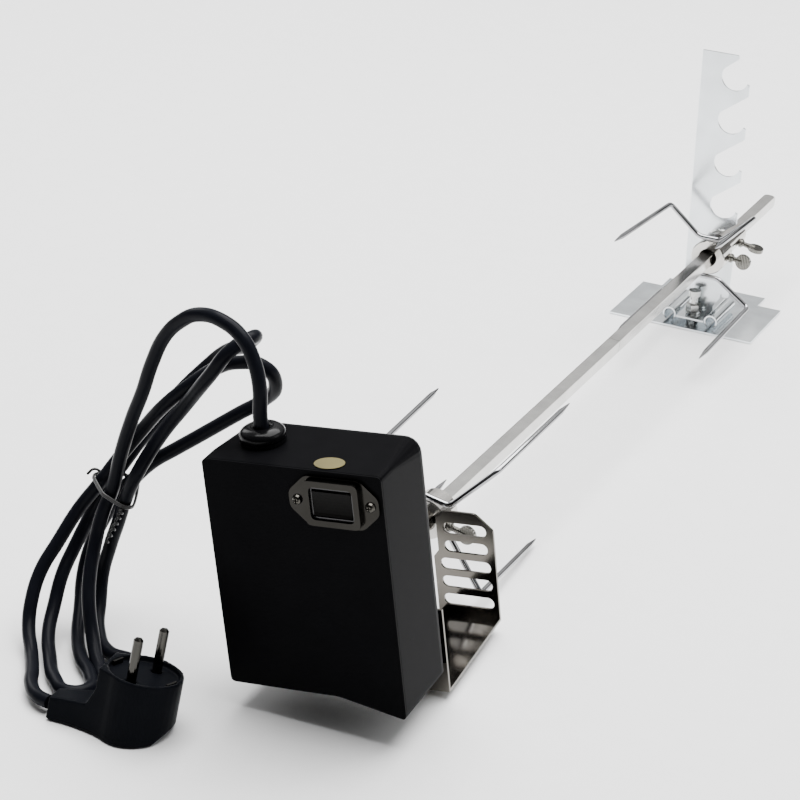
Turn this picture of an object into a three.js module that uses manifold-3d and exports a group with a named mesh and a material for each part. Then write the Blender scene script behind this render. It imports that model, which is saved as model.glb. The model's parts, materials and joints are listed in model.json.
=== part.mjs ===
// Barbecue rotisserie kit: a boxed gear motor with a slotted hook bracket, a two-piece square spit
// with two meat forks and a collar, a notched stand that carries the spit's far end, and a mains
// cord folded into a tied bundle. Millimetres, +Z up, the spit's axis along Y.

import * as THREE from 'three';
import { ConvexGeometry } from 'three/addons/geometries/ConvexGeometry.js';
import { mergeVertices } from 'three/addons/utils/BufferGeometryUtils.js';
import Module from 'manifold-3d';

const wasm = await Module();
wasm.setup();

const DEG = Math.PI / 180;
const GAP = 0.3;                     // clearance between pieces that touch
const SPIT_HEIGHT = 54.72;           // the spit's axis above the table

// Motor unit. It stands a little askew of the spit, which sits loosely in its drive socket.
const UNIT_TILT = { x: 1.975, y: -7.309, z: 2.078 };
const BOX = { left: -46.5, right: 52.8, top: 92.9, depth: 55.3, edge: 3, rearEdge: 9.5 };
const BOX_FLOOR = { left: -35.3, right: -43.8, kink: 16.1 };
const SHEET = 1.2;                   // thickness of the housing, the cover and the base plate
const COVER_SEAM = 0.3;
const SWITCH = { x: 26.3, z: 76.8, pitch: 40, width: 49.2, height: 27 };
const SWITCH_FRAME = { width: 30, height: 24.5, proud: 3 };
const SWITCH_WINDOW = { width: 24, height: 18, corner: 3 };
const SWITCH_POCKET = { width: 21.6, height: 15.4, floor: 9 };
const ROCKER = { width: 21, half: 6.6, pivot: 2 };
const FLANGE_SCREW = { head: 2.75, shank: 1.5, length: 7 };
const CASE_SCREW = { head: 3, shank: 1.5, length: 6 };
const CASE_SCREW_SPOTS = [[-34, 80], [40, 80], [-34, -27]];
const BRACKET_SCREW_SPOTS = [[24, -19], [42, -19]];
const GLAND = { x: -24.2, y: 25.6, radius: 12, thread: 5.8, mouth: 4.4 };
const GLAND_LEVELS = { thread: 82, seat: 93.2, flange: 95.2, mouth: 98.3, top: 101.6 };
const STICKER = { x: 21, y: 8.9, length: 16.2, width: 12.6, thickness: 0.2 };

const BRACKET = { sheet: 1.5, left: 14.6, right: 51.3, floor: -57.5, upright: -10 };
const PLATE = { front: 134, left: 11.5, right: 48.2, top: 5.6 };
const PLATE_SLOT = { height: 7, pitch: 11, first: -4.8 };
const PLATE_SLOT_ENDS = [[18.4, 44.1], [18.4, 44.1], [15.2, 45.1], [15.2, 45.1], [15.2, 45.1]];

// Drive inside the motor unit, in line with the spit
const GEAR_MODULE = 1;
const TEETH = { pinion: 12, idlerLarge: 36, idlerSmall: 12, output: 40 };
const MESH_SLACK = 0.3;
const IDLER_Z = (TEETH.idlerSmall + TEETH.output) * GEAR_MODULE / 2 + MESH_SLACK;
const PINION_Z = IDLER_Z + (TEETH.pinion + TEETH.idlerLarge) * GEAR_MODULE / 2 + MESH_SLACK;
const GEARBOX = { front: 9, rear: 29.5, sheet: 1.5, half: 24, low: -24, high: 68, postEnd: 50.3 };
const MOTOR = { radius: 16, front: 31.4, rear: 50.4, shaft: 1.5 };
const SOCKET = { radius: 7.5, shaft: 4, front: 20.5, floor: 34.4, rear: 49.6, square: 8.6 };
const BUSH = { bore: 6.2, barrel: 9, flange: 12, front: 50, seat: 56.3, rear: 58.3 };

// Spit
const ROD = { side: 8, corner: 0.5, phase: -3.5, start: 35, joint: 417.5, end: 720 };
const STUD = { radius: 2.5, half: 12 };
const HUB = { radius: 12, bore: 6.5, chamfer: 0.6 };
const WIRE = { radius: 1.7, point: 11, bend: 3.2 };
const SCREW = { shank: 2, shoulder: 3.2, paddle: 5.4, thickness: 2.6, tip: 4.5 };
const FORK_1 = {
  name: 'fork1', hub: [142, 159], arms: 157, tips: 242,
  corners: { upperLeft: [-36, 32], upperRight: [35.4, 32.5], lowerLeft: [-32, -32], lowerRight: [29, -45.5] },
  points: {
    upperLeft: [-41, 30], upperRight: [41.1, 40.1], lowerLeft: [-33.2, -27.6], lowerRight: [25.8, -51.3],
  },
  saddles: { upper: [[-8, 142.5, 15.9], [14, 142.5, 11.9]], lower: [[-8, 157, -14.1], [8, 157, -14.1]] },
  screw: { y: 146.5, angle: -13, reach: 24 },
};
const FORK_2 = {
  name: 'fork2', hub: [589, 606], arms: 590.5, tips: 505,
  corners: {
    upperLeft: [-30.3, 33.1], upperRight: [30.5, 35], lowerLeft: [-31, -31], lowerRight: [31.6, -30.9],
  },
  points: {
    upperLeft: [-37.2, 33.2], upperRight: [32.6, 42.8], lowerLeft: [-31, -31], lowerRight: [28.5, -36.5],
  },
  saddles: { upper: [[-8, 590.5, 14.1], [8, 590.5, 14.1]], lower: [[-8, 590.5, -14.1], [8, 590.5, -14.1]] },
  screw: { y: 601, angle: -7, reach: 22 },
};
const COLLAR = { radius: 8.3, front: 607.5, rear: 645, screwY: 632, angle: -11, reach: 20.6 };

// Stand
const STAND = { front: 610.5, sheet: 1.3, left: -22.6, topLeft: -23.4, top: 193.8, neck: 19 };
const NOTCH = { x: 0.8, radius: 9.6, lowest: 55.62, pitch: 30.7, count: 5, from: 152, to: 337 };
const HOOK = { tip: [9.9, 5.9], edge: 11.4, high: 5.1, low: -2.4 };
const FOOT = { left: -20.4, right: -0.1, front: 592.5, underside: 5, slotFront: 595, slotRear: 608 };
const TONGUE = { left: -17, right: 4.5, low: 11 };
const BASE = { left: -66.9, right: 37.5, front: 585.5, rear: 650 };
const TAIL = { left: -52.5, right: 20.3, rear: 666 };
const GUIDE = {
  left: -25.5, right: 5, radius: 4.75, sheet: 1, height: 6.3, front: 593, rear: 630, mouth: 50,
};
const CLAMP = { x: -12, y: 604.5, radius: 3, head: 4.25, top: 22.6, headHeight: 4 };
const WASHER = { radius: 5.7, bottom: 6.5, top: 7.7 };
const NUT = { radius: 5.4, top: 12.5 };

// Cord: its centreline from the gland over the arc and through the tie five times to the plug
const CORD_RADIUS = 3.8;
const CORD_ROUTE = [
  [-37.4, 20.9, 150.3], [-38.4, 20.6, 158.2], [-39.5, 21.5, 174], [-44, 23, 187],
  [-51, 24, 197], [-63, 27, 202], [-80, 31, 201], [-93, 34, 193],
  [-103, 36, 182], [-112, 38, 164], [-119, 40, 145], [-127, 42, 126],
  [-134, 43, 105], [-139, 42, 83], [-143, 37, 67], [-144, 31, 51],
  [-141, 21, 38], [-136, 12, 26], [-128, 3, 13], [-117, -9, 5.5],
  [-103, -20, 4.4], [-90, -20, 4.4], [-84, -9, 4.4], [-93, 3, 4.4],
  [-107, 6, 4.4], [-121, 7, 4.6], [-134, 18, 9], [-141, 31, 18],
  [-144, 39, 31], [-141, 42, 47], [-135, 41, 64], [-130, 41, 80],
  [-124, 41, 94], [-115, 50, 115], [-101, 53, 136], [-83, 48, 160],
  [-72, 51, 176], [-66, 61, 180], [-74, 76, 171], [-86, 88, 160],
  [-102, 97, 150], [-114, 98, 138], [-127, 91, 122], [-136, 78, 106],
  [-143, 63, 90], [-151, 56, 75], [-159, 51, 57], [-163, 42, 42],
  [-163, 28, 30], [-161, 17, 18], [-156, 3, 9], [-145, -13, 4.4],
  [-130, -31, 4.4], [-118, -38, 4.4], [-110, -31, 4.4], [-116, -19, 4.4],
  [-129, -7, 5], [-142, 10, 7], [-151, 27, 14], [-159, 43, 25],
  [-160, 53, 38], [-155, 59, 53], [-147, 61, 69], [-134, 58, 84],
  [-126, 61, 93], [-113, 65, 103], [-101, 69, 112], [-80, 75, 128],
  [-69, 79, 136], [-58, 73, 150], [-61, 64, 164], [-73, 62, 164],
  [-89, 64, 156], [-102, 59, 145], [-116, 58, 131], [-131, 59, 112],
  [-142, 53, 95], [-151, 48, 80], [-161, 42, 64], [-167, 31, 48],
  [-171, 19, 34], [-170, 8, 21], [-166, -1, 11], [-156, -14, 5.5],
  [-145, -30, 5.2], [-137, -43, 5.4], [-128, -51, 5.7], [-119.2, -53.3, 5.8],
];
// Tie: a band round the five strands, whose places are given in the band's own plane
const TIE = { centre: [-143, 50, 80], along: [0.33, 0.1, 0.94], slack: 0.5, band: 1, height: 1.8 };
const TIE_STRANDS = [[-7, -1.3], [3.2, -9], [12.5, -8.8], [4, 9.4], [-5, 8.7]];
const PLUG = {
  face: [-70.5, -38.8, 31.5], pins: [0.084, 0.199, 0.976], exit: [-0.975, -0.18, 0.1], skew: 17.4,
};
const PLUG_BODY = { radius: 20.5, rim: 3, neckEnd: 45.5, neckHalf: 7, neckDrop: 32, neckHeight: 12 };
const PIN = { radius: 2.6, spacing: 22, length: 24 };
const EARTH_CLIP = { width: 8, thickness: 1.2, height: 2.4, inset: 17.2 };

const material = (color, roughness, metalness) =>
  new THREE.MeshStandardMaterial({ color, roughness, metalness });
const BLACK_PAINT = material(0x111214, 0.5, 0.2);
const BLACK_PLASTIC = material(0x0b0b0c, 0.35, 0);
const BLACK_RUBBER = material(0x1a1c20, 0.6, 0);
const STAINLESS = material(0xc9c6be, 0.25, 1);
const CHROME = material(0xd8d8d6, 0.12, 1);
const ZINC = material(0xcfd4d6, 0.3, 1);
const BRASS = material(0xb08d3c, 0.35, 1);
const NYLON = material(0xe8e2d0, 0.6, 0);
const GOLD_LABEL = material(0xb79b45, 0.4, 0.3);

// ---- geometry helpers ----

function toSolid(geometry) {
  const bare = geometry.clone();
  bare.deleteAttribute('normal');
  bare.deleteAttribute('uv');
  const merged = mergeVertices(bare, 1e-4);
  const mesh = new wasm.Mesh({
    numProp: 3,
    vertProperties: new Float32Array(merged.attributes.position.array),
    triVerts: new Uint32Array(merged.index.array),
  });
  return new wasm.Manifold(mesh);
}

function toGeometry(solid) {
  const mesh = solid.getMesh();
  const geometry = new THREE.BufferGeometry();
  geometry.setAttribute('position', new THREE.BufferAttribute(new Float32Array(mesh.vertProperties), 3));
  geometry.setIndex(new THREE.BufferAttribute(new Uint32Array(mesh.triVerts), 1));
  geometry.computeVertexNormals();
  return geometry;
}

const combine = (method, first, others) =>
  toGeometry(others.reduce((solid, other) => solid[method](toSolid(other)), toSolid(first)));
const cut = (first, ...others) => combine('subtract', first, others);
const join = (first, ...others) => combine('add', first, others);
const overlap = (first, ...others) => combine('intersect', first, others);

// Closed outline through points, each corner rounded
function roundedShape(points, radius) {
  const shape = new THREE.Shape();
  const count = points.length;
  points.forEach((point, index) => {
    const corner = new THREE.Vector2(...point);
    const before = new THREE.Vector2(...points[(index + count - 1) % count]);
    const after = new THREE.Vector2(...points[(index + 1) % count]);
    const start = corner.clone().add(before.sub(corner).setLength(radius));
    const end = corner.clone().add(after.sub(corner).setLength(radius));
    if (index === 0) shape.moveTo(start.x, start.y);
    else shape.lineTo(start.x, start.y);
    shape.quadraticCurveTo(corner.x, corner.y, end.x, end.y);
  });
  shape.closePath();
  return shape;
}

const rectangle = (x0, y0, x1, y1) => [[x0, y0], [x1, y0], [x1, y1], [x0, y1]];

function extrude(shape, depth, segments = 4) {
  return new THREE.ExtrudeGeometry(shape, { depth, bevelEnabled: false, curveSegments: segments });
}

// Plate whose outline lies in X and Z, between two places on Y
function uprightPlate(shape, front, rear, segments) {
  return extrude(shape, rear - front, segments).rotateX(Math.PI / 2).translate(0, rear, 0);
}

function levelPlate(shape, bottom, top, segments) {
  return extrude(shape, top - bottom, segments).translate(0, 0, bottom);
}

function block(x0, y0, z0, x1, y1, z1) {
  const box = new THREE.BoxGeometry(x1 - x0, y1 - y0, z1 - z0);
  return box.translate((x0 + x1) / 2, (y0 + y1) / 2, (z0 + z1) / 2);
}

// Solid of revolution about Y from [radius, height] points
function turned(profile, segments = 32) {
  return new THREE.LatheGeometry(profile.map(([radius, height]) => new THREE.Vector2(radius, height)), segments);
}

function bar(radius, front, rear, x = 0, z = 0, segments = 24) {
  return new THREE.CylinderGeometry(radius, radius, rear - front, segments).translate(x, (front + rear) / 2, z);
}

function post(radius, bottom, top, x = 0, y = 0, segments = 24) {
  return bar(radius, bottom, top, 0, 0, segments).rotateX(Math.PI / 2).translate(x, y, 0);
}

function circle(radius, x = 0, y = 0) {
  const path = new THREE.Shape();
  path.absarc(x, y, radius, 0, 2 * Math.PI, false);
  return path;
}

// Polyline whose stations are kept one by one when it is extruded along
class StationPath extends THREE.Curve {
  constructor(points) {
    super();
    this.points = points;
  }
  getPoint(t, target = new THREE.Vector3()) {
    const place = Math.min(Math.max(t, 0), 1) * (this.points.length - 1);
    const index = Math.min(Math.floor(place), this.points.length - 2);
    return target.lerpVectors(this.points[index], this.points[index + 1], place - index);
  }
  getUtoTmapping(u) {
    return u;
  }
}

function tube(points, radius, sides) {
  const path = new StationPath(points.map((point) => new THREE.Vector3(...point)));
  return new THREE.ExtrudeGeometry(circle(radius), {
    steps: points.length - 1, extrudePath: path, curveSegments: sides,
  });
}

// Stations of a bent wire: each inner corner becomes a short round bend
function bentRoute(points, bend) {
  const route = [points[0]];
  for (let index = 1; index < points.length - 1; index += 1) {
    const corner = new THREE.Vector3(...points[index]);
    const start = new THREE.Vector3(...points[index - 1]).sub(corner).setLength(bend).add(corner);
    const end = new THREE.Vector3(...points[index + 1]).sub(corner).setLength(bend).add(corner);
    const curve = new THREE.QuadraticBezierCurve3(start, corner, end);
    route.push(...curve.getPoints(3).map((point) => point.toArray()));
  }
  route.push(points.at(-1));
  return route;
}

function gearShape(teeth, bore, turn) {
  const shape = new THREE.Shape();
  const pitch = teeth * GEAR_MODULE / 2;
  const step = 2 * Math.PI / teeth;
  const flank = [[-0.32, -1.2], [-0.12, 0.9], [0.12, 0.9], [0.32, -1.2]];
  for (let tooth = 0; tooth < teeth; tooth += 1) {
    flank.forEach(([share, height], index) => {
      const angle = (tooth + share) * step + turn;
      const radius = pitch + height * GEAR_MODULE;
      const method = tooth + index === 0 ? 'moveTo' : 'lineTo';
      shape[method](radius * Math.cos(angle), radius * Math.sin(angle));
    });
  }
  shape.closePath();
  if (bore > 0) shape.holes.push(circle(bore));
  return shape;
}

// ---- the kit's scene graph ----

const kit = new THREE.Group();
const unit = new THREE.Group();
unit.position.set(0, 0, SPIT_HEIGHT);
unit.rotation.set(UNIT_TILT.x * DEG, UNIT_TILT.y * DEG, UNIT_TILT.z * DEG, 'ZXY');
const spit = new THREE.Group();
spit.position.set(0, 0, SPIT_HEIGHT);
const stand = new THREE.Group();
const lead = new THREE.Group();
kit.add(unit, spit, stand, lead);

function place(group, name, geometry, look) {
  const mesh = new THREE.Mesh(geometry, look);
  mesh.name = name;
  group.add(mesh);
  return mesh;
}

// ---- motor unit ----

function boxOutline(inset) {
  return roundedShape([
    [BOX.left + inset, BOX_FLOOR.left + inset],
    [BOX_FLOOR.kink, BOX_FLOOR.left + inset],
    [BOX.right - inset, BOX_FLOOR.right + inset],
    [BOX.right - inset, BOX.top - inset],
    [BOX.left + inset, BOX.top - inset],
  ], BOX.edge - inset / 2);
}

// Outer or inner form of the box. Its long edges are square at the cover and open out towards round
// rear corners.
function roundedBox(inset, rear) {
  const edge = BOX.rearEdge - inset;
  const top = BOX.top - inset;
  const low = -100;
  const quarter = [0, 15, 30, 45, 60, 75, 90].map((angle) => angle * DEG);
  const levels = [[low, edge], ...quarter.map((up) => [top - edge + edge * Math.sin(up), edge * Math.cos(up)])];
  const points = [];
  for (const [side, x] of [[-1, BOX.left + inset], [1, BOX.right - inset]]) {
    points.push(new THREE.Vector3(x, 0, low), new THREE.Vector3(x, 0, top));
    for (const around of quarter) {
      for (const [height, reach] of levels) {
        const across = x - side * (edge - reach * Math.cos(around));
        points.push(new THREE.Vector3(across, rear - edge + reach * Math.sin(around), height));
      }
    }
  }
  return overlap(uprightPlate(boxOutline(inset), 0, rear), new ConvexGeometry(points));
}

function housingShell() {
  const big = 200;
  const spitAxis = new THREE.Vector3(0, BOX.depth, 0).applyQuaternion(unit.quaternion.clone().invert());
  return cut(
    roundedBox(0, BOX.depth),
    block(-big, -big, -big, big, SHEET + COVER_SEAM, big),
    roundedBox(SHEET, BOX.depth - SHEET),
    bar(BUSH.barrel + 1.4, BOX.depth - 5, BOX.depth + 5, spitAxis.x, spitAxis.z, 32),
    post(GLAND.thread + GAP, BOX.top - 5, BOX.top + 5, GLAND.x, GLAND.y),
    ...[...CASE_SCREW_SPOTS, ...BRACKET_SCREW_SPOTS].map(([x, z]) =>
      bar(CASE_SCREW.shank + GAP, BOX.depth - 5, BOX.depth + 5, x, z, 12)),
  );
}

function frontCover() {
  const cover = boxOutline(0);
  const halfWindow = [SWITCH_WINDOW.width / 2 + GAP, SWITCH_WINDOW.height / 2 + GAP];
  cover.holes.push(roundedShape(rectangle(
    SWITCH.x - halfWindow[0], SWITCH.z - halfWindow[1],
    SWITCH.x + halfWindow[0], SWITCH.z + halfWindow[1],
  ), SWITCH_WINDOW.corner));
  for (const side of [-1, 1]) {
    cover.holes.push(circle(FLANGE_SCREW.shank + GAP, SWITCH.x + side * SWITCH.pitch / 2, SWITCH.z));
  }
  return uprightPlate(cover, 0, SHEET, 8);
}

function switchFlange() {
  const halfWidth = SWITCH.width / 2;
  const halfHeight = SWITCH.height / 2;
  const shoulder = 15;
  const ear = 4.4;
  const outline = roundedShape([
    [-shoulder, -halfHeight], [shoulder, -halfHeight], [halfWidth, -ear], [halfWidth, ear],
    [shoulder, halfHeight], [-shoulder, halfHeight], [-halfWidth, ear], [-halfWidth, -ear],
  ], 2.5);
  const frame = roundedShape(rectangle(
    -SWITCH_FRAME.width / 2, -SWITCH_FRAME.height / 2, SWITCH_FRAME.width / 2, SWITCH_FRAME.height / 2,
  ), 3.5);
  const window = roundedShape(rectangle(
    -SWITCH_WINDOW.width / 2, -SWITCH_WINDOW.height / 2, SWITCH_WINDOW.width / 2, SWITCH_WINDOW.height / 2,
  ), SWITCH_WINDOW.corner);
  const rear = -GAP;
  const front = rear - 1;
  return cut(
    join(uprightPlate(outline, front, rear), uprightPlate(frame, front - SWITCH_FRAME.proud, front + 0.2)),
    uprightPlate(window, -20, 20),
    ...[-1, 1].map((side) => bar(FLANGE_SCREW.shank + GAP, -20, 20, side * SWITCH.pitch / 2, 0, 12)),
  ).translate(SWITCH.x, 0, SWITCH.z);
}

function switchBody() {
  const halfWidth = SWITCH_WINDOW.width / 2 - GAP;
  const halfHeight = SWITCH_WINDOW.height / 2 - GAP;
  const front = -2.9;
  const rear = 22;
  const pocket = [SWITCH_POCKET.width / 2, SWITCH_POCKET.height / 2];
  return cut(
    uprightPlate(roundedShape(rectangle(-halfWidth, -halfHeight, halfWidth, halfHeight), 2.7), front, rear),
    block(-pocket[0], front - 1, -pocket[1], pocket[0], SWITCH_POCKET.floor, pocket[1]),
  ).translate(SWITCH.x, 0, SWITCH.z);
}

function rocker() {
  const { half, width } = ROCKER;
  const profile = new THREE.Shape();
  profile.moveTo(-3.7, -half);
  profile.quadraticCurveTo(-1.6, 0, -3.7, half);
  profile.lineTo(3, half * 0.8);
  profile.lineTo(7, 2);
  profile.lineTo(7, -2);
  profile.lineTo(3, -half * 0.8);
  profile.closePath();
  const geometry = extrude(profile, width, 8);
  const turn = new THREE.Matrix4().makeBasis(
    new THREE.Vector3(0, 1, 0), new THREE.Vector3(0, 0, 1), new THREE.Vector3(1, 0, 0),
  );
  return geometry.applyMatrix4(turn).translate(SWITCH.x - width / 2, 0, SWITCH.z);
}

// Pan-head screw along Y with its head towards -Y, the head's seat at y = 0
function panScrew({ head, shank, length }) {
  const height = head * 0.75;
  const recess = head * 0.55;
  const screw = turned([
    [0, -height], [head * 0.45, -height * 0.92], [head * 0.8, -height * 0.6], [head, -0.2],
    [head, 0], [shank, 0], [shank, length], [0, length],
  ], 20);
  return cut(
    screw,
    block(-recess, -height - 1, -0.35, recess, -height * 0.4, 0.35),
    block(-0.35, -height - 1, -recess, 0.35, -height * 0.4, recess),
  );
}

function buildMotorUnit() {
  place(unit, 'housing_shell', housingShell(), BLACK_PAINT);
  place(unit, 'front_cover', frontCover(), BLACK_PAINT);
  place(unit, 'switch_flange', switchFlange(), STAINLESS);
  place(unit, 'switch_body', switchBody(), BLACK_PLASTIC);
  place(unit, 'switch_rocker', rocker(), BLACK_PLASTIC);
  ['left', 'right'].forEach((side, index) => {
    const screw = place(unit, `flange_screw_${side}`, panScrew(FLANGE_SCREW), STAINLESS);
    screw.position.set(SWITCH.x + (2 * index - 1) * SWITCH.pitch / 2, -1 - 2 * GAP, SWITCH.z);
  });
  CASE_SCREW_SPOTS.forEach(([x, z], index) => {
    const screw = place(unit, `case_screw_${index + 1}`, panScrew(CASE_SCREW), ZINC);
    screw.rotation.z = Math.PI;
    screw.position.set(x, BOX.depth + GAP, z);
  });
  BRACKET_SCREW_SPOTS.forEach(([x, z], index) => {
    const screw = place(unit, `bracket_screw_${index + 1}`, panScrew(CASE_SCREW), ZINC);
    screw.rotation.z = Math.PI;
    screw.position.set(x, BOX.depth + 2 * GAP + BRACKET.sheet, z);
  });

  const { thread, seat, flange, mouth, top } = GLAND_LEVELS;
  const glandBody = turned([[0, thread], [GLAND.thread, thread], [GLAND.thread, seat],
    [GLAND.radius, seat], [GLAND.radius, flange], [0, flange]]);
  const glandNut = turned([[0, flange + GAP], [GLAND.radius, flange + GAP], [GLAND.radius, 97.6],
    [GLAND.radius * 0.92, 99.4], [GLAND.radius * 0.72, 100.9], [GLAND.mouth + 1.6, top],
    [GLAND.mouth, top], [GLAND.mouth, mouth], [0, mouth]]);
  for (const [name, geometry] of [['gland_body', glandBody], ['gland_nut', glandNut]]) {
    geometry.rotateX(Math.PI / 2).translate(GLAND.x, GLAND.y, 0);
    place(unit, name, geometry, BLACK_PLASTIC);
  }

  const oval = new THREE.Shape();
  oval.absellipse(STICKER.x, STICKER.y, STICKER.length / 2, STICKER.width / 2, 0, 2 * Math.PI);
  const stickerBottom = BOX.top + GAP;
  place(unit, 'sticker', levelPlate(oval, stickerBottom, stickerBottom + STICKER.thickness, 32), GOLD_LABEL);
}

// ---- hook bracket under and behind the motor unit ----

function bracket() {
  const { sheet, left, right, floor, upright } = BRACKET;
  const front = BOX.depth + GAP;
  const rear = PLATE.front + sheet;
  const bottom = floor - sheet;
  const frontPlate = uprightPlate(new THREE.Shape(rectangle(left, bottom, right, upright)
    .map((point) => new THREE.Vector2(...point))), front, front + sheet);
  const web = new THREE.Shape([[left, front], [right, front], [PLATE.right - 0.4, rear], [PLATE.left, rear]]
    .map((point) => new THREE.Vector2(...point)));
  const plate = new THREE.Shape();
  plate.moveTo(PLATE.left, bottom);
  plate.lineTo(PLATE.right - 0.4, bottom);
  plate.lineTo(PLATE.right, -5.5);
  plate.quadraticCurveTo(PLATE.right, -3.4, 47.3, -2.6);
  plate.lineTo(39.6, 4.4);
  plate.quadraticCurveTo(38.2, PLATE.top, 36, PLATE.top);
  plate.lineTo(left + 7.5, PLATE.top);
  plate.quadraticCurveTo(left, PLATE.top, left, PLATE.top - 7.5);
  plate.lineTo(left, -19);
  plate.lineTo(PLATE.left, -23);
  plate.closePath();
  PLATE_SLOT_ENDS.forEach(([from, to], index) => {
    const middle = PLATE_SLOT.first - index * PLATE_SLOT.pitch;
    const half = PLATE_SLOT.height / 2;
    const slot = new THREE.Path();
    slot.absarc(from + half, middle, half, Math.PI / 2, 3 * Math.PI / 2, false);
    slot.absarc(to - half, middle, half, -Math.PI / 2, Math.PI / 2, false);
    slot.closePath();
    plate.holes.push(slot);
  });
  return cut(
    join(frontPlate, levelPlate(web, bottom, floor), uprightPlate(plate, PLATE.front, rear, 6)),
    ...BRACKET_SCREW_SPOTS.map(([x, z]) => bar(CASE_SCREW.shank + GAP, front - 5, front + 5, x, z, 12)),
  );
}

// ---- drive: motor, gear train and socket, in line with the spit ----

function gearboxPlate(front) {
  const { half, low, high, sheet } = GEARBOX;
  const plate = roundedShape(rectangle(-half, low, half, high), 5);
  return uprightPlate(plate, front, front + sheet);
}

function buildDrive() {
  const posts = [[-20, -20], [20, -20], [-20, 64], [20, 64]];
  const rearPlate = cut(
    join(gearboxPlate(GEARBOX.rear), ...posts.map(([x, z]) =>
      bar(2.5, GEARBOX.front + GEARBOX.sheet + GAP, GEARBOX.postEnd, x, z, 12))),
    bar(SOCKET.radius + 0.5, 0, 60),
    bar(MOTOR.shaft + 0.5, 0, 60, 0, PINION_Z, 16),
  );
  const frontPlate = cut(
    gearboxPlate(GEARBOX.front),
    bar(MOTOR.shaft + GAP, 0, 60, 0, IDLER_Z, 16),
  );
  place(spit, 'gearbox_front_plate', frontPlate, ZINC);
  place(spit, 'gearbox_rear_plate', rearPlate, ZINC);
  place(spit, 'motor_can', cut(
    bar(MOTOR.radius, MOTOR.front, MOTOR.rear, 0, PINION_Z),
    bar(MOTOR.shaft + 0.5, MOTOR.front - 1, MOTOR.front + 8, 0, PINION_Z, 16),
  ), ZINC);

  const halfIdler = Math.PI / TEETH.idlerSmall;
  const halfLarge = Math.PI / TEETH.idlerLarge;
  const pinion = join(
    uprightPlate(gearShape(TEETH.pinion, 0, 0), 13, 19),
    bar(MOTOR.shaft, 12, MOTOR.front + 7, 0, 0, 16),
  ).translate(0, 0, PINION_Z);
  const idler = join(
    uprightPlate(gearShape(TEETH.idlerLarge, 0, halfLarge), 14, 18),
    uprightPlate(gearShape(TEETH.idlerSmall, 0, halfIdler), 17, 28),
    bar(MOTOR.shaft, GEARBOX.front, 19, 0, 0, 16),
  ).translate(0, 0, IDLER_Z);
  place(spit, 'motor_pinion', pinion, BRASS);
  place(spit, 'idler_gear', idler, NYLON);
  place(spit, 'output_gear', uprightPlate(gearShape(TEETH.output, SOCKET.shaft + GAP, 0), 21, 27, 12), NYLON);

  const half = SOCKET.square / 2;
  const hole = block(-half, SOCKET.floor, -half, half, SOCKET.rear + 1, half).rotateY(-ROD.phase * DEG);
  place(spit, 'drive_socket', cut(turned([
    [0, SOCKET.front], [SOCKET.shaft, SOCKET.front], [SOCKET.shaft, 27.3], [SOCKET.radius, 27.3],
    [SOCKET.radius, SOCKET.rear], [0, SOCKET.rear],
  ]), hole), STAINLESS);
  place(spit, 'bearing_bush', turned([
    [BUSH.bore, BUSH.front], [BUSH.barrel, BUSH.front], [BUSH.barrel, BUSH.seat],
    [BUSH.flange, BUSH.seat], [BUSH.flange, BUSH.rear], [BUSH.bore, BUSH.rear], [BUSH.bore, BUSH.front],
  ]), STAINLESS);
}

// ---- spit: rod, forks and collar ----

function rodLength(front, rear) {
  const half = ROD.side / 2;
  return uprightPlate(roundedShape(rectangle(-half, -half, half, half), ROD.corner), front, rear, 2);
}

function buildRod() {
  const { joint, start, end } = ROD;
  const bore = bar(STUD.radius + GAP, joint - STUD.half - 1, joint + STUD.half + 1, 0, 0, 16);
  const roundEnd = turned([[0, joint - 5], [6, joint - 5], [6, end - 5], [5, end - 1.8], [3, end], [0, end]], 24);
  const halves = {
    rod_near: cut(rodLength(start, joint - GAP / 2), bore),
    rod_far: cut(overlap(rodLength(joint + GAP / 2, end), roundEnd), bore),
  };
  for (const [name, geometry] of Object.entries(halves)) {
    place(spit, name, geometry.rotateY(-ROD.phase * DEG), CHROME);
  }
  place(spit, 'rod_stud', bar(STUD.radius, joint - STUD.half, joint + STUD.half, 0, 0, 16), ZINC);
}

// Ring round the rod with a radial hole for its thumbscrew
function ring(radius, front, rear, screwY, angle) {
  const { bore, chamfer } = HUB;
  const body = turned([
    [bore, front], [radius - chamfer, front], [radius, front + chamfer],
    [radius, rear - chamfer], [radius - chamfer, rear], [bore, rear], [bore, front],
  ]);
  const hole = new THREE.CylinderGeometry(SCREW.shank + GAP, SCREW.shank + GAP, radius + 4, 16);
  hole.rotateZ(Math.PI / 2).translate((radius + 4) / 2, 0, 0).rotateY(-angle * DEG).translate(0, screwY, 0);
  return cut(body, hole);
}

// Wire of one fork: point, prong, corner, arm, saddle over the hub, and back out
function forkWire(fork, level) {
  const point = (table, side, y) => {
    const [x, z] = table[`${level}${side}`];
    return new THREE.Vector3(x, y, z);
  };
  const ends = ['Left', 'Right'].map((side) => {
    const corner = point(fork.corners, side, fork.arms);
    const tip = point(fork.points, side, fork.tips);
    return { corner, tip, along: tip.clone().sub(corner).normalize() };
  });
  const stop = ({ tip, along }) => tip.clone().addScaledVector(along, -WIRE.point).toArray();
  const route = bentRoute([
    stop(ends[0]), ends[0].corner.toArray(), ...fork.saddles[level], ends[1].corner.toArray(), stop(ends[1]),
  ], WIRE.bend);
  const points = ends.map(({ tip, along }) => {
    const cone = new THREE.CylinderGeometry(0.35, WIRE.radius, WIRE.point + 0.5, 8);
    const turn = new THREE.Quaternion().setFromUnitVectors(new THREE.Vector3(0, 1, 0), along);
    const middle = tip.clone().addScaledVector(along, -(WIRE.point + 0.5) / 2);
    return cone.applyQuaternion(turn).translate(...middle.toArray());
  });
  return join(tube(route, WIRE.radius, 8), ...points);
}

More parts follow.
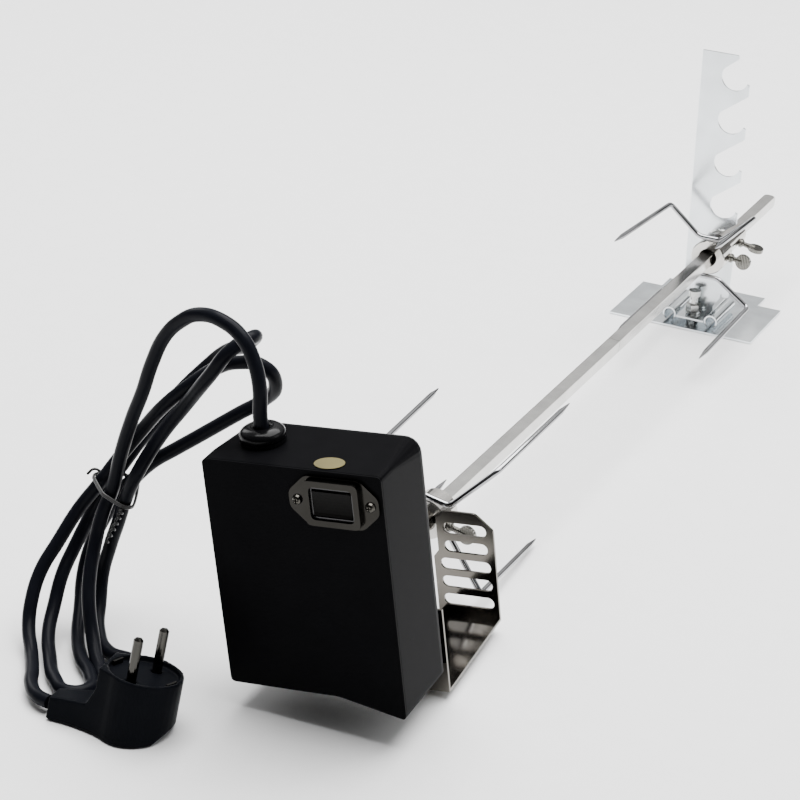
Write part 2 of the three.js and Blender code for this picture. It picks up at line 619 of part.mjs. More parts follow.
// Thumbscrew pointing along +X from the spit's axis, its paddle flat across Y or across Z
function thumbscrew(y, angle, seat, reach, across) {
  const { shank, shoulder, paddle, thickness, tip } = SCREW;
  const stem = turned([
    [0, tip], [shank, tip], [shank, seat + GAP], [shoulder, seat + GAP], [shoulder, seat + 2],
    [1.7, seat + 3.4], [2.2, reach - 1], [0, reach - 1],
  ], 16).rotateZ(-Math.PI / 2);
  const disc = bar(paddle, -thickness / 2, thickness / 2, reach, 0, 20);
  if (across === 'z') disc.rotateX(Math.PI / 2);
  return join(stem, disc).rotateY(-angle * DEG).translate(0, y, 0);
}

function buildFork(fork) {
  const [front, rear] = fork.hub;
  const { y, angle, reach } = fork.screw;
  place(spit, `${fork.name}_hub`, ring(HUB.radius, front, rear, y, angle), STAINLESS);
  place(spit, `${fork.name}_upper_wire`, forkWire(fork, 'upper'), CHROME);
  place(spit, `${fork.name}_lower_wire`, forkWire(fork, 'lower'), CHROME);
  place(spit, `${fork.name}_thumbscrew`, thumbscrew(y, angle, HUB.radius, reach, 'y'), STAINLESS);
}

function buildCollar() {
  const { radius, front, rear, screwY, angle, reach } = COLLAR;
  place(spit, 'collar', ring(radius, front, rear, screwY, angle), STAINLESS);
  place(spit, 'collar_thumbscrew', thumbscrew(screwY, angle, radius, reach, 'z'), STAINLESS);
}

// ---- stand ----

function uprightOutline() {
  const { left, topLeft, top, neck } = STAND;
  const shape = new THREE.Shape();
  shape.moveTo(topLeft, top);
  shape.lineTo(left, neck);
  shape.lineTo(TONGUE.left - 1.2, neck);
  shape.lineTo(TONGUE.left - 1.2, neck + 2);
  shape.lineTo(TONGUE.left, neck + 2);
  shape.lineTo(TONGUE.left, FOOT.underside);
  shape.lineTo(FOOT.right, FOOT.underside);
  shape.lineTo(FOOT.right, TONGUE.low);
  shape.lineTo(TONGUE.right, neck - 1);
  shape.lineTo(TONGUE.right, neck + 2);
  shape.lineTo(TONGUE.right + 1.2, neck + 2);
  shape.lineTo(TONGUE.right + 1.2, neck);
  shape.lineTo(10.3, neck);
  for (let index = 0; index < NOTCH.count; index += 1) {
    const middle = NOTCH.lowest + index * NOTCH.pitch;
    const bottom = middle - NOTCH.radius;
    shape.lineTo(HOOK.edge, bottom + HOOK.low);
    shape.lineTo(HOOK.edge, bottom + HOOK.high);
    shape.lineTo(HOOK.tip[0], bottom + HOOK.tip[1]);
    shape.absarc(NOTCH.x, middle, NOTCH.radius, NOTCH.to * DEG, NOTCH.from * DEG, true);
  }
  shape.lineTo(2.5, top - 2.4);
  shape.lineTo(1.9, top);
  shape.closePath();
  return shape;
}

function guideTube(x) {
  const { radius, sheet, height, front, rear, mouth } = GUIDE;
  const from = (270 + mouth / 2) * DEG;
  const to = (270 - mouth / 2 + 360) * DEG;
  const shape = new THREE.Shape();
  shape.absarc(x, height, radius, from, to, false);
  shape.absarc(x, height, radius - sheet, to, from, true);
  shape.closePath();
  return uprightPlate(shape, front, rear, 20);
}

function buildStand() {
  const upright = uprightPlate(uprightOutline(), STAND.front, STAND.front + STAND.sheet, 14);
  const foot = block(FOOT.left, FOOT.front, FOOT.underside, FOOT.right, STAND.front + 0.5, FOOT.underside + SHEET);
  const slot = new THREE.Shape();
  const slotRadius = CLAMP.radius + 0.4;
  slot.absarc(CLAMP.x, FOOT.slotFront + slotRadius, slotRadius, Math.PI, 2 * Math.PI, false);
  slot.absarc(CLAMP.x, FOOT.slotRear - slotRadius, slotRadius, 0, Math.PI, false);
  place(stand, 'stand_upright', cut(join(upright, foot), levelPlate(slot, 0, 10, 8)), ZINC);

  const outline = new THREE.Shape([
    [BASE.left, BASE.front], [BASE.right, BASE.front], [BASE.right, BASE.rear], [TAIL.right, BASE.rear],
    [TAIL.right, TAIL.rear], [TAIL.left, TAIL.rear], [TAIL.left, BASE.rear], [BASE.left, BASE.rear],
  ].map((point) => new THREE.Vector2(...point)));
  place(stand, 'base_plate', levelPlate(outline, 0, SHEET), ZINC);
  place(stand, 'guide_left', guideTube(GUIDE.left), ZINC);
  place(stand, 'guide_right', guideTube(GUIDE.right), ZINC);

  const { x, y, radius, head, top, headHeight } = CLAMP;
  const standing = (geometry) => geometry.rotateX(Math.PI / 2).translate(x, y, 0);
  const bolt = turned([
    [0, SHEET + GAP], [head, SHEET + GAP], [head, 4], [radius, 4], [radius, top - headHeight],
    [head, top - headHeight], [head, top], [0, top],
  ], 20);
  const washer = turned([
    [radius + GAP, WASHER.bottom], [WASHER.radius, WASHER.bottom], [WASHER.radius, WASHER.top],
    [radius + GAP, WASHER.top], [radius + GAP, WASHER.bottom],
  ], 24);
  const nutBottom = WASHER.top + GAP;
  const nut = cut(
    turned([[0, nutBottom], [NUT.radius, nutBottom], [NUT.radius, NUT.top], [0, NUT.top]], 6),
    bar(radius + GAP, 0, 20, 0, 0, 20),
  );
  place(stand, 'clamp_bolt', standing(bolt), ZINC);
  place(stand, 'clamp_washer', standing(washer), ZINC);
  place(stand, 'clamp_nut', standing(nut), ZINC);
}

// ---- cord, tie and plug ----

// Outline pulled tight round circles of one radius, their centres listed anticlockwise
function wrapped(path, centres, radius) {
  const count = centres.length;
  const outward = ([x0, y0], [x1, y1]) => Math.atan2(x0 - x1, y1 - y0);
  centres.forEach((centre, index) => {
    const arriving = outward(centres[(index + count - 1) % count], centre);
    const leaving = outward(centre, centres[(index + 1) % count]);
    path.absarc(...centre, radius, arriving, leaving, false);
  });
  path.closePath();
  return path;
}

function twistTie() {
  const inner = CORD_RADIUS + TIE.slack;
  const band = wrapped(new THREE.Shape(), TIE_STRANDS, inner + TIE.band);
  band.holes.push(wrapped(new THREE.Path(), TIE_STRANDS, inner));
  return levelPlate(band, -TIE.height / 2, TIE.height / 2, 4);
}

// Local frame of the plug: +Z along the pins, +X towards the cord's exit. The pins' line is skewed.
function plugFrame() {
  const pins = new THREE.Vector3(...PLUG.pins).normalize();
  const across = pins.clone().cross(new THREE.Vector3(...PLUG.exit)).normalize();
  const exit = across.clone().cross(pins);
  return new THREE.Matrix4().makeBasis(exit, across, pins).setPosition(...PLUG.face);
}

function plugBody(frame) {
  const { radius, rim, neckEnd, neckHalf, neckDrop, neckHeight } = PLUG_BODY;
  const plan = new THREE.Shape();
  plan.absarc(0, 0, radius, 50 * DEG, 310 * DEG, false);
  plan.quadraticCurveTo(26, -neckHalf - 2, neckEnd, -neckHalf);
  plan.lineTo(neckEnd, neckHalf);
  plan.quadraticCurveTo(26, neckHalf + 2, radius * Math.cos(50 * DEG), radius * Math.sin(50 * DEG));
  const side = new THREE.Shape();
  side.moveTo(radius, 0);
  side.lineTo(-radius, 0);
  side.lineTo(-radius, -25);
  side.lineTo(-4, -45);
  side.lineTo(18, -45);
  side.lineTo(neckEnd, -neckDrop - neckHeight / 2);
  side.lineTo(neckEnd, -neckDrop + neckHeight / 2);
  side.lineTo(radius + 4, -neckDrop + neckHeight / 2 + 4);
  side.lineTo(radius, -12);
  side.closePath();
  const height = 60;
  const body = overlap(
    levelPlate(plan, -height, 1, 12),
    uprightPlate(side, -height, height),
  );
  const hollow = post(radius - 2, -rim, 5, 0, 0, 40);
  body.applyMatrix4(frame);
  return cut(
    body,
    hollow.applyMatrix4(frame),
    block(-300, -300, -100, 300, 300, 0.1),
    ...[-1, 1].map((end) => post(PIN.radius + GAP, -rim - 6, 5, 0, end * PIN.spacing / 2, 16)
      .rotateZ(-PLUG.skew * DEG).applyMatrix4(frame)),
  );
}

function buildLead() {
  place(lead, 'cord', tube(CORD_ROUTE, CORD_RADIUS, 5), BLACK_RUBBER);

  const tie = place(lead, 'twist_tie', twistTie(), BLACK_PLASTIC);
  tie.quaternion.setFromUnitVectors(new THREE.Vector3(0, 0, 1), new THREE.Vector3(...TIE.along).normalize());
  tie.position.set(...TIE.centre);

  const frame = plugFrame();
  place(lead, 'plug_body', plugBody(frame), BLACK_PLASTIC);
  const floor = -PLUG_BODY.rim;
  [-1, 1].forEach((side, index) => {
    const pin = turned([
      [0, floor - 5], [PIN.radius, floor - 5], [PIN.radius, floor + PIN.length - 1.4],
      [PIN.radius * 0.62, floor + PIN.length - 0.3], [0, floor + PIN.length],
    ], 16).rotateX(Math.PI / 2).translate(0, side * PIN.spacing / 2, 0);
    pin.rotateZ(-PLUG.skew * DEG);
    place(lead, `plug_pin_${index + 1}`, pin.applyMatrix4(frame), CHROME);
  });
  [-1, 1].forEach((side, index) => {
    const { width, thickness, height, inset } = EARTH_CLIP;
    const low = floor + GAP;
    const clip = block(-thickness / 2, -width / 2, low, thickness / 2, width / 2, low + height);
    clip.translate(side * inset, 0, 0).rotateZ(-PLUG.skew * DEG);
    place(lead, `earth_clip_${index + 1}`, clip.applyMatrix4(frame), CHROME);
  });
}

buildMotorUnit();
place(unit, 'bracket', bracket(), STAINLESS);
buildDrive();
buildRod();
buildFork(FORK_1);
buildFork(FORK_2);
buildCollar();
buildStand();
buildLead();

// The origin is under the middle of the kit without its cord, on the table
const withoutCord = new THREE.Box3();
kit.updateMatrixWorld(true);
for (const group of [unit, spit, stand]) withoutCord.expandByObject(group, true);
const middle = withoutCord.getCenter(new THREE.Vector3());
kit.position.set(-middle.x, -middle.y, -withoutCord.min.z);

export default kit;
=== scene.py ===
import json
import math

import bmesh
import bpy
from mathutils import Euler, Matrix, Vector


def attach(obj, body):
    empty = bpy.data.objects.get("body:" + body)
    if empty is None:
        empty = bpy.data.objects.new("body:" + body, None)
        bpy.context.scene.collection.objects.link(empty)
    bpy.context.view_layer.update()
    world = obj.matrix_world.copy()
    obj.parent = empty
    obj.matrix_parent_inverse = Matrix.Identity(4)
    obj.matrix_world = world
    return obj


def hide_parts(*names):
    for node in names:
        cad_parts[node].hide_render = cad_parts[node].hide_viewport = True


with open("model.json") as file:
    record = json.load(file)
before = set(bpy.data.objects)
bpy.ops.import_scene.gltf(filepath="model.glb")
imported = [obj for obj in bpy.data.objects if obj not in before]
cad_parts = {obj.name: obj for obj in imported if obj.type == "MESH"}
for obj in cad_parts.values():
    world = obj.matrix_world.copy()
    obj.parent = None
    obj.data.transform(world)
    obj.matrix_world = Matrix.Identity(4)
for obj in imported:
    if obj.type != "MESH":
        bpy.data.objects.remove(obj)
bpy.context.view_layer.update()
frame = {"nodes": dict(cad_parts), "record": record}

# The script's lengths are in millimetres from the spit's axis at the drive end, on the table, with
# the spit along +Y. row() carries them to the row frame in metres.
ORIGIN = (4.6883, -356.3355, 0.0)
SPIT_HEIGHT = 54.72
MM = 0.001


def row(x, y, z):
    return Vector(((x + ORIGIN[0]) * MM, (y + ORIGIN[1]) * MM, (z + ORIGIN[2]) * MM))


# ---- camera: the photograph's viewing angle ----

CAMERA_PLACE = (546.1, -1057.4, 742.7)
CAMERA_DOWN = 25.05
CAMERA_TURN = 25.2
CAMERA_ROLL = 2.31
CAMERA_LENS = 121.4


def add_camera():
    camera = bpy.data.objects.new("camera", bpy.data.cameras.new("camera"))
    bpy.context.scene.collection.objects.link(camera)
    camera.data.lens = CAMERA_LENS
    camera.data.sensor_width = 36
    camera.data.clip_end = 20
    turn = (
        Matrix.Rotation(math.radians(CAMERA_TURN), 4, "Z")
        @ Matrix.Rotation(math.radians(90 - CAMERA_DOWN), 4, "X")
        @ Matrix.Rotation(math.radians(CAMERA_ROLL), 4, "Z")
    )
    camera.matrix_world = Matrix.Translation(row(*CAMERA_PLACE)) @ turn
    bpy.context.scene.camera = camera


# ---- materials ----

GRAIN_RELIEF = 0.0004
RIB_RELIEF = 0.0003

def surface(name, color, rough, metal=0.0, grain=400, grain_depth=0.05, stretch=(1, 1, 1),
            wear=0.1, mottle=60, ior=1.5, ribs=0):
    """A finish with fine grain in its relief and slow patches in its roughness and colour."""
    material = bpy.data.materials.new(name)
    material.use_nodes = True
    nodes = material.node_tree.nodes
    links = material.node_tree.links
    shader = nodes["Principled BSDF"]
    shader.inputs["Metallic"].default_value = metal
    shader.inputs["IOR"].default_value = ior
    coordinates = nodes.new("ShaderNodeTexCoord")
    mapping = nodes.new("ShaderNodeMapping")
    mapping.inputs["Scale"].default_value = stretch
    links.new(coordinates.outputs["Object"], mapping.inputs["Vector"])

    fine = nodes.new("ShaderNodeTexNoise")
    fine.inputs["Scale"].default_value = grain
    fine.inputs["Detail"].default_value = 3
    links.new(mapping.outputs["Vector"], fine.inputs["Vector"])
    bump = nodes.new("ShaderNodeBump")
    bump.inputs["Strength"].default_value = grain_depth
    bump.inputs["Distance"].default_value = GRAIN_RELIEF
    links.new(fine.outputs["Fac"], bump.inputs["Height"])
    links.new(bump.outputs["Normal"], shader.inputs["Normal"])
    if ribs:
        wave = nodes.new("ShaderNodeTexWave")
        wave.inputs["Scale"].default_value = ribs
        links.new(coordinates.outputs["Object"], wave.inputs["Vector"])
        flutes = nodes.new("ShaderNodeBump")
        flutes.inputs["Distance"].default_value = RIB_RELIEF
        links.new(wave.outputs["Fac"], flutes.inputs["Height"])
        links.new(flutes.outputs["Normal"], bump.inputs["Normal"])

    patches = nodes.new("ShaderNodeTexNoise")
    patches.inputs["Scale"].default_value = mottle
    patches.inputs["Detail"].default_value = 4
    links.new(coordinates.outputs["Object"], patches.inputs["Vector"])
    roughness = nodes.new("ShaderNodeMapRange")
    roughness.inputs["To Min"].default_value = max(0.02, rough * (1 - 2 * wear))
    roughness.inputs["To Max"].default_value = min(1.0, rough * (1 + 2 * wear))
    links.new(patches.outputs["Fac"], roughness.inputs["Value"])
    links.new(roughness.outputs["Result"], shader.inputs["Roughness"])
    ramp = nodes.new("ShaderNodeValToRGB")
    ramp.color_ramp.elements[0].position = 0.3
    ramp.color_ramp.elements[1].position = 0.7
    ramp.color_ramp.elements[0].color = (*[c * (1 - wear) for c in color], 1)
    ramp.color_ramp.elements[1].color = (*[min(1, c * (1 + wear)) for c in color], 1)
    links.new(patches.outputs["Fac"], ramp.inputs["Fac"])
    links.new(ramp.outputs["Color"], shader.inputs["Base Color"])
    return material


ROUND = (8, 8, 0.4)
ALONG_SPIT = (6, 0.3, 6)
FINISHES = {
    "case_paint": surface("case_paint", (0.003, 0.003, 0.0035), 0.3, 0.0, 1500, 0.08, ior=1.06),
    "switch_steel": surface("switch_steel", (0.022, 0.021, 0.019), 0.2, 1.0, 500, 0.03),
    "switch_screw_steel": surface("switch_screw_steel", (0.06, 0.057, 0.05), 0.22, 1.0, 500, 0.04),
    "switch_plastic": surface("switch_plastic", (0.004, 0.004, 0.004), 0.22, 0.0, 900, 0.03),
    "rocker_plastic": surface("rocker_plastic", (0.004, 0.0038, 0.0035), 0.16, 0.0, 300, 0.02, ior=1.12),
    "screw_zinc": surface("screw_zinc", (0.6, 0.6, 0.6), 0.3, 1.0, 500, 0.05),
    "gland_plastic": surface("gland_plastic", (0.003, 0.003, 0.0035), 0.18, 0.0, 800, 0.04, ior=1.2),
    "label_foil": surface("label_foil", (0.12, 0.1, 0.03), 0.5, 0.4, 600, 0.05),
    "bracket_steel": surface("bracket_steel", (0.15, 0.14, 0.125), 0.12, 1.0, 300, 0.02, (1, 0.2, 4)),
    "drive_steel": surface("drive_steel", (0.55, 0.55, 0.55), 0.35, 1.0, 500, 0.05),
    "pinion_brass": surface("pinion_brass", (0.6, 0.42, 0.15), 0.3, 1.0, 500, 0.05),
    "gear_nylon": surface("gear_nylon", (0.8, 0.77, 0.66), 0.5, 0.0, 500, 0.05),
    "socket_steel": surface("socket_steel", (0.6, 0.6, 0.58), 0.3, 1.0, 500, 0.05),
    "rod_chrome": surface("rod_chrome", (0.6, 0.59, 0.57), 0.16, 1.0, 500, 0.03, ALONG_SPIT),
    "fork_wire": surface("fork_wire", (0.36, 0.36, 0.37), 0.12, 1.0, 400, 0.03),
    "hub_steel": surface("hub_steel", (0.6, 0.58, 0.55), 0.16, 1.0, 900, 0.05, (1, 8, 1)),
    "thumbscrew_steel": surface("thumbscrew_steel", (0.17, 0.165, 0.15), 0.16, 1.0, 600, 0.05, ribs=280),
    "stand_zinc": surface("stand_zinc", (0.82, 0.86, 0.885), 0.2, 1.0, 700, 0.04, (1, 1, 0.3)),
    "clamp_zinc": surface("clamp_zinc", (0.62, 0.62, 0.6), 0.28, 1.0, 600, 0.05),
    "cord_rubber": surface("cord_rubber", (0.005, 0.0055, 0.008), 0.3, 0.0, 900, 0.06, ior=1.12),
    "tie_plastic": surface("tie_plastic", (0.003, 0.003, 0.0032), 0.3, 0.0, 900, 0.05),
    "plug_rubber": surface("plug_rubber", (0.004, 0.0045, 0.006), 0.34, 0.0, 1400, 0.1, ior=1.07),
    "pin_nickel": surface("pin_nickel", (0.055, 0.053, 0.048), 0.14, 1.0, 700, 0.04, ROUND),
}


def dress_cad_nodes():
    for part in frame["record"]["subparts"]:
        node = frame["nodes"][part["node"]]
        node.data.materials.clear()
        node.data.materials.append(FINISHES[part["material_slot"]])


# ---- shaping helpers ----


def add_modifiers(node, width, angle=35, segments=2):
    """Breaks the sharp edges of a CAD node and shades its round faces smoothly."""
    for polygon in node.data.polygons:
        polygon.use_smooth = True
    node.data.set_sharp_from_angle(angle=math.radians(angle))
    bevel = node.modifiers.new("edges", "BEVEL")
    bevel.limit_method = "ANGLE"
    bevel.angle_limit = math.radians(angle)
    bevel.width = width * MM
    bevel.segments = segments
    bevel.harden_normals = True


def finished(obj, slot, body, *nodes):
    obj.data.materials.append(FINISHES[slot])
    bpy.context.scene.collection.objects.link(obj)
    if nodes:
        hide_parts(*nodes)
    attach(obj, body)
    return obj


def curve_tube(name, points, radius, taper=None, handles="AUTO", resolution=6):
    """An open tube along points in the row frame."""
    curve = bpy.data.curves.new(name, "CURVE")
    curve.dimensions = "3D"
    curve.bevel_depth = radius * MM
    curve.bevel_resolution = 5
    curve.resolution_u = resolution
    curve.use_fill_caps = True
    spline = curve.splines.new("BEZIER")
    spline.bezier_points.add(len(points) - 1)
    for index, (knot, place) in enumerate(zip(spline.bezier_points, points)):
        knot.co = place
        knot.handle_left_type = handles
        knot.handle_right_type = handles
        if taper:
            knot.radius = taper[index]
    return bpy.data.objects.new(name, curve)


def mesh_object(name, build):
    mesh = bpy.data.meshes.new(name)
    work = bmesh.new()
    build(work)
    bmesh.ops.recalc_face_normals(work, faces=work.faces)
    work.to_mesh(mesh)
    work.free()
    for polygon in mesh.polygons:
        polygon.use_smooth = True
    mesh.set_sharp_from_angle(angle=math.radians(40))
    return bpy.data.objects.new(name, mesh)


# ---- cord, tie and plug ----

CORD_DIAMETER = 7.6
# Points of the cord's route; the smooth curve through them is longer than the straight lines between them
CORD_ROUTE = [
    (-37.4, 20.9, 150.3), (-38.4, 20.6, 158.2), (-39.5, 21.5, 174), (-44, 23, 187),
    (-51, 24, 197), (-63, 27, 202), (-80, 31, 201), (-93, 34, 193),
    (-103, 36, 182), (-112, 38, 164), (-119, 40, 145), (-127, 42, 126),
    (-134, 43, 105), (-139, 42, 83), (-143, 37, 67), (-144, 31, 51),
    (-141, 21, 38), (-136, 12, 26), (-128, 3, 13), (-117, -9, 5.5),
    (-103, -20, 4.4), (-90, -20, 4.4), (-84, -9, 4.4), (-93, 3, 4.4),
    (-107, 6, 4.4), (-121, 7, 4.6), (-134, 18, 9), (-141, 31, 18),
    (-144, 39, 31), (-141, 42, 47), (-135, 41, 64), (-130, 41, 80),
    (-124, 41, 94), (-115, 50, 115), (-101, 53, 136), (-83, 48, 160),
    (-72, 51, 176), (-66, 61, 180), (-74, 76, 171), (-86, 88, 160),
    (-102, 97, 150), (-114, 98, 138), (-127, 91, 122), (-136, 78, 106),
    (-143, 63, 90), (-151, 56, 75), (-159, 51, 57), (-163, 42, 42),
    (-163, 28, 30), (-161, 17, 18), (-156, 3, 9), (-145, -13, 4.4),
    (-130, -31, 4.4), (-118, -38, 4.4), (-110, -31, 4.4), (-116, -19, 4.4),
    (-129, -7, 5), (-142, 10, 7), (-151, 27, 14), (-159, 43, 25),
    (-160, 53, 38), (-155, 59, 53), (-147, 61, 69), (-134, 58, 84),
    (-126, 61, 93), (-113, 65, 103), (-101, 69, 112), (-80, 75, 128),
    (-69, 79, 136), (-58, 73, 150), (-61, 64, 164), (-73, 62, 164),
    (-89, 64, 156), (-102, 59, 145), (-116, 58, 131), (-131, 59, 112),
    (-142, 53, 95), (-151, 48, 80), (-161, 42, 64), (-167, 31, 48),
    (-171, 19, 34), (-170, 8, 21), (-166, -1, 11), (-156, -14, 5.5),
    (-145, -30, 5.2), (-137, -43, 5.4), (-128, -51, 5.7), (-119.2, -53.3, 5.8),
]


def add_cord():
    points = [row(*place) for place in CORD_ROUTE]
    cord = curve_tube("mains_cord", points, CORD_DIAMETER / 2)
    finished(cord, "cord_rubber", "motor_unit", "cord")
    (add_tie() + [
            frame["nodes"][name]
            for name in ("plug_body", "plug_pin_1", "plug_pin_2", "earth_clip_1", "earth_clip_2")
        ])


TIE_CENTRE = (-143, 50, 80)
TIE_ALONG = Vector((0.33, 0.1, 0.94)).normalized()
TIE_STRANDS = [(-7, -1.3), (3.2, -9), (12.5, -8.8), (4, 9.4), (-5, 8.7)]
TIE_WIRE = 0.75
TIE_SLACK = 0.5
TIE_RISE = 1.7
TIE_TWIST = 0.9
TIE_TAIL_TURNS = 6
BEND_STEPS = 4
TIE_TAIL = [Vector((14.5, -13.5, -1)), Vector((15, -14.5, -9)), Vector((13.5, -14, -24))]
TIE_STUB = [Vector((-11, 3, 0.5)), Vector((-14.5, 1, 1)), Vector((-16.5, -1, -3))]


def tie_point(local):
    turn = Vector((0, 0, 1)).rotation_difference(TIE_ALONG).to_matrix()
    place = turn @ local
    return row(TIE_CENTRE[0] + place.x, TIE_CENTRE[1] + place.y, TIE_CENTRE[2] + place.z)


def tie_loop():
    """Two close turns of wire pulled round the strands, as points in the row frame."""
    reach = CORD_DIAMETER / 2 + TIE_SLACK + TIE_WIRE
    count = len(TIE_STRANDS)
    around = []
    for index, (x, y) in enumerate(TIE_STRANDS):
        before = TIE_STRANDS[index - 1]
        after = TIE_STRANDS[(index + 1) % count]
        arriving = math.atan2(before[0] - x, y - before[1])
        leaving = math.atan2(x - after[0], after[1] - y)
        if leaving < arriving:
            leaving += 2 * math.pi
        for step in range(BEND_STEPS + 1):
            angle = arriving + (leaving - arriving) * step / BEND_STEPS
            around.append((x + reach * math.cos(angle), y + reach * math.sin(angle)))
    turns = 2 * around
    rise = TIE_RISE / len(turns)
    return [tie_point(Vector((x, y, (index - len(turns) / 2) * rise))) for index, (x, y) in enumerate(turns)]


def twisted(points, radius, turns):
    """Two wires wound round each other along a bent line, as one strand's points."""
    strand = []
    steps = 10 * turns
    for step in range(steps + 1):
        t = step / steps
        middle = points[0].lerp(points[1], t).lerp(points[1].lerp(points[2], t), t)
        angle = 2 * math.pi * turns * t
        strand.append(tie_point(middle + Vector((radius * math.cos(angle), radius * math.sin(angle), 0))))
    return strand


def add_tie():
    loop = curve_tube("tie_loop", tie_loop(), TIE_WIRE)
    finished(loop, "tie_plastic", "motor_unit", "twist_tie")
    tail = curve_tube("tie_tail", twisted(TIE_TAIL, TIE_TWIST, TIE_TAIL_TURNS), TIE_WIRE)
    finished(tail, "tie_plastic", "motor_unit")
    stub = curve_tube("tie_stub", [tie_point(place) for place in TIE_STUB], TIE_WIRE)
    finished(stub, "tie_plastic", "motor_unit")
    return [loop, tail, stub]


PLUG_SKIN = 0.7
PLUG_SMOOTHING = 6


def soften_plug():
    """Gives the CAD plug the soft edges of a moulding."""
    plug = frame["nodes"]["plug_body"]
    for polygon in plug.data.polygons:
        polygon.use_smooth = True
    remesh = plug.modifiers.new("skin", "REMESH")
    remesh.mode = "VOXEL"
    remesh.voxel_size = PLUG_SKIN * MM
    remesh.use_smooth_shade = True
    smooth = plug.modifiers.new("moulding", "SMOOTH")
    smooth.iterations = PLUG_SMOOTHING


# ---- motor unit ----

UNIT_TILT = Euler((math.radians(1.975), math.radians(-7.309), math.radians(2.078)), "YXZ")
GLAND = (-24.2, 25.6)
GLAND_PROFILE = [
    (0, 95.55), (11.7, 95.55), (12, 95.9), (12, 97.4), (11.75, 98.6), (11, 99.7), (9.8, 100.6),
    (8.2, 101.2), (6.4, 101.5), (4.9, 101.4), (4.4, 101.0), (4.4, 98.4), (0, 98.4),
]
TURNS = 96


def on_unit(x, y, z):
    """A place in the motor unit's own frame, which stands askew of the spit, in the row frame."""
    place = UNIT_TILT.to_matrix() @ Vector((x, y, z))
    return row(place.x, place.y, place.z + SPIT_HEIGHT)


def add_gland_nut():
    def build(work):
        rings = []
        for radius, height in GLAND_PROFILE:
            if radius == 0:
                rings.append([work.verts.new(on_unit(*GLAND, height))] * TURNS)
                continue
            rings.append([
                work.verts.new(on_unit(
                    GLAND[0] + radius * math.cos(2 * math.pi * step / TURNS),
                    GLAND[1] + radius * math.sin(2 * math.pi * step / TURNS),
                    height,
                ))
                for step in range(TURNS)
            ])
        for low, high in zip(rings, rings[1:]):
            for step in range(TURNS):
                following = (step + 1) % TURNS
                corners = [low[step], low[following], high[following], high[step]]
                work.faces.new(list(dict.fromkeys(corners)))

    finished(mesh_object("gland_dome", build), "gland_plastic", "motor_unit", "gland_nut")


# ---- forks ----

WIRE = 1.7
FORKS = {
    "fork1": {
        "arms": 157, "tips": 242,
        "upper": [(-41, 30), (-36, 32), (35.4, 32.5), (41.1, 40.1)],
        "upper_saddle": [(-8, 142.5, 15.9), (14, 142.5, 11.9)],
        "lower": [(-33.2, -27.6), (-32, -32), (29, -45.5), (25.8, -51.3)],
        "lower_saddle": [(-8, 157, -14.1), (8, 157, -14.1)],
    },
    "fork2": {
        "arms": 590.5, "tips": 505,
        "upper": [(-37.2, 33.2), (-30.3, 33.1), (30.5, 35), (32.6, 42.8)],
        "upper_saddle": [(-8, 590.5, 14.1), (8, 590.5, 14.1)],
        "lower": [(-31, -31), (-31, -31), (31.6, -30.9), (28.5, -36.5)],
        "lower_saddle": [(-8, 590.5, -14.1), (8, 590.5, -14.1)],
    },
}
POINT_LENGTH = 11
BEND = 3.2


def fork_wire(name, level):
    """Prong, arm, saddle over the hub, arm and prong, in one bent wire with ground points."""
    fork = FORKS[name]
    (x0, z0), (x1, z1), (x2, z2), (x3, z3) = fork[level]
    arms = fork["arms"]
    corners = [
        Vector((x0, fork["tips"], z0)),
        Vector((x1, arms, z1)),
        *[Vector(place) for place in fork[f"{level}_saddle"]],
        Vector((x2, arms, z2)),
        Vector((x3, fork["tips"], z3)),
    ]
    route = []
    radii = []

    def put(place, radius=1.0):
        route.append(row(place.x, place.y, place.z + SPIT_HEIGHT))
        radii.append(radius)

    first = (corners[1] - corners[0]).normalized()
    put(corners[0], 0.2)
    put(corners[0] + first * POINT_LENGTH)
    for before, corner, after in zip(corners, corners[1:], corners[2:]):
        start = corner + (before - corner).normalized() * BEND
        end = corner + (after - corner).normalized() * BEND
        for step in range(BEND_STEPS + 1):
            t = step / BEND_STEPS
            put(start.lerp(corner, t).lerp(corner.lerp(end, t), t))
    last = (corners[-2] - corners[-1]).normalized()
    put(corners[-1] + last * POINT_LENGTH)
    put(corners[-1], 0.2)
    wire = curve_tube(f"{name}_{level}_prongs", route, WIRE, radii, "VECTOR", 2)
    finished(wire, "fork_wire", name, f"{name}_{level}_wire")


# ---- assembly ----

EDGE = {
    "housing_shell": 0.3, "front_cover": 0.25, "switch_flange": 0.4, "switch_body": 0.4,
    "switch_rocker": 0.6, "gland_body": 0.6, "bracket": 0.2,
    "rod_near": 0.15, "rod_far": 0.15, "fork1_hub": 0.3, "fork2_hub": 0.3, "collar": 0.3,
    "fork1_thumbscrew": 0.4, "fork2_thumbscrew": 0.4, "collar_thumbscrew": 0.4,
    "stand_upright": 0.2, "base_plate": 0.25, "guide_left": 0.15, "guide_right": 0.15,
    "clamp_bolt": 0.3, "clamp_washer": 0.2, "clamp_nut": 0.5,
    "plug_pin_1": 0.4, "plug_pin_2": 0.4, "earth_clip_1": 0.3, "earth_clip_2": 0.3,
    "flange_screw_left": 0.2, "flange_screw_right": 0.2,
}


# Brightness of the studio by height, and of its side behind the camera: polished metal shows both
SKY = [(0.05, 0.12), (0.25, 0.2), (0.38, 0.95), (0.85, 1.1)]
DARK_SIDE = 0.12
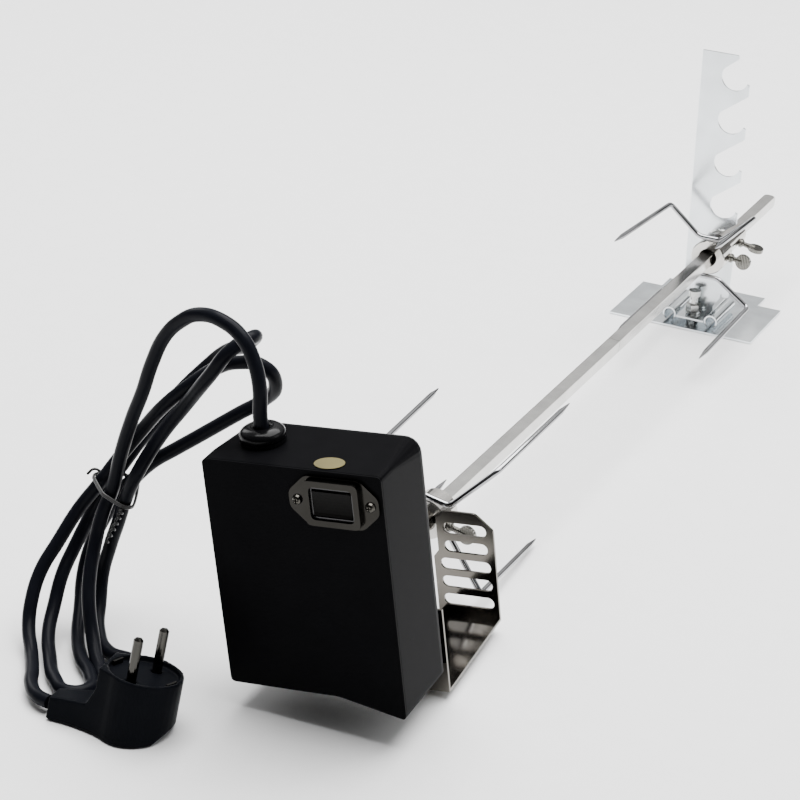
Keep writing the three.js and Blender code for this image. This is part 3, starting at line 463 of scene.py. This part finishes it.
# Name, place and size in metres, power in watts
LAMPS = [
    ("overhead", (0.0, 0.5, 2.2), 2.4, 190),
    ("side", (1.6, 0.1, 1.2), 0.9, 4),
    ("left", (-1.6, 0.6, 1.0), 0.8, 8),
]
LAMPS_AIM = Vector((0, 0, 0.05))
FLOOR_SIZE = 12
FLOOR_PLACE = (0, 2, -0.0003)


def add_floor_and_light():
    bpy.ops.mesh.primitive_plane_add(size=FLOOR_SIZE, location=FLOOR_PLACE)
    floor = bpy.context.object
    floor.name = "floor"
    floor.data.materials.append(surface("floor", (0.9, 0.9, 0.9), 0.6, 0.0, 200, 0.01, wear=0.01))
    world = bpy.data.worlds.new("studio")
    bpy.context.scene.world = world
    world.use_nodes = True
    nodes = world.node_tree.nodes
    links = world.node_tree.links
    direction = nodes.new("ShaderNodeTexCoord")
    parts = nodes.new("ShaderNodeSeparateXYZ")
    sky = nodes.new("ShaderNodeValToRGB")
    links.new(direction.outputs["Generated"], parts.inputs["Vector"])
    links.new(parts.outputs["Z"], sky.inputs["Fac"])
    links.new(sky.outputs["Color"], nodes["Background"].inputs["Color"])
    side = nodes.new("ShaderNodeMapRange")
    side.inputs["From Min"].default_value = -0.4
    side.inputs["From Max"].default_value = 0.3
    side.inputs["To Min"].default_value = DARK_SIDE
    links.new(parts.outputs["Y"], side.inputs["Value"])
    links.new(side.outputs["Result"], nodes["Background"].inputs["Strength"])
    for height, brightness in SKY:
        stop = sky.color_ramp.elements.new(height)
        stop.color = (brightness, brightness, brightness, 1)
    sky.color_ramp.elements[0].color = (*[SKY[0][1]] * 3, 1)
    for name, place, size, power in LAMPS:
        lamp = bpy.data.objects.new(name, bpy.data.lights.new(name, "AREA"))
        lamp.data.shape = "SQUARE"
        lamp.data.size = size
        lamp.data.energy = power
        lamp.location = place
        lamp.rotation_euler = (LAMPS_AIM - Vector(place)).to_track_quat("-Z", "Y").to_euler()
        bpy.context.scene.collection.objects.link(lamp)


add_camera()
dress_cad_nodes()
add_cord()
soften_plug()
add_gland_nut()
for fork in FORKS:
    for level in ("upper", "lower"):
        fork_wire(fork, level)
for node, width in EDGE.items():
    add_modifiers(frame["nodes"][node], width)
add_floor_and_light()

bpy.context.view_layer.update()
